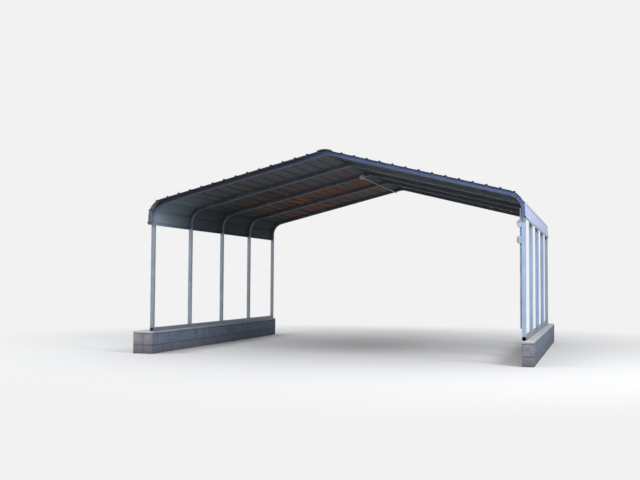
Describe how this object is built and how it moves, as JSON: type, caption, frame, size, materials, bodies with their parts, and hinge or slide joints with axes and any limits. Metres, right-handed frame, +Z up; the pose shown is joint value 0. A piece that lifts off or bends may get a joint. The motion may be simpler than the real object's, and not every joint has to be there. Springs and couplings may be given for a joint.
{
  "type": "carport",
  "caption": "Open carport of bent square steel bows on legs and base rails, under a rounded roof of ribbed sheets, standing on low block walls.",
  "frame": {"origin": "middle of the footprint at the foot of the two block walls; the line under the ridge lies 0.0866 m to +X of it, because the left wall is thicker than the right one", "axes": "+X across the bay, to the right when looking in from the front; +Y from the front to the rear, along the ridge and the sheet ribs; +Z up"},
  "size_m": [7.1392, 6.4008, 3.5969],
  "materials": {
    "galvanised_steel": "matt galvanised, weathered",
    "painted_sheet": "satin paint, dusty",
    "concrete_block": "rough, open grain",
    "grey_plastic": "matt",
    "cast_box_metal": "cast, matt",
    "white_ceramic": "glazed",
    "frosted_glass": "frosted"
  },
  "bodies": {
    "root": {"lamp_box": "cast_box_metal", "lamp_bulb": "frosted_glass", "lamp_holder": "white_ceramic", "left_base_rail": "galvanised_steel", "left_block_wall": "concrete_block", "left_eave_sheet": "painted_sheet", "left_leg_1": "galvanised_steel", "left_leg_2": "galvanised_steel", "left_leg_3": "galvanised_steel", "left_leg_4": "galvanised_steel", "left_leg_5": "galvanised_steel", "left_leg_inserts": "galvanised_steel", "left_roof_sheet_1": "painted_sheet", "left_roof_sheet_2": "painted_sheet", "left_roof_sheet_3": "painted_sheet", "leg_conduit": "grey_plastic", "leg_straps": "cast_box_metal", "outlet_box": "cast_box_metal", "outlet_cover": "cast_box_metal", "ridge_cap": "painted_sheet", "ridge_conduit": "grey_plastic", "ridge_straps": "cast_box_metal", "right_base_rail": "galvanised_steel", "right_block_wall": "concrete_block", "right_eave_sheet": "painted_sheet", "right_leg_1": "galvanised_steel", "right_leg_2": "galvanised_steel", "right_leg_3": "galvanised_steel", "right_leg_4": "galvanised_steel", "right_leg_5": "galvanised_steel", "right_leg_inserts": "galvanised_steel", "right_roof_sheet_1": "painted_sheet", "right_roof_sheet_2": "painted_sheet", "right_roof_sheet_3": "painted_sheet", "roof_bow_1": "galvanised_steel", "roof_bow_2": "galvanised_steel", "roof_bow_3": "galvanised_steel", "roof_bow_4": "galvanised_steel", "roof_bow_5": "galvanised_steel", "switch_box": "cast_box_metal", "switch_cover": "cast_box_metal"}
  },
  "joints": []
}
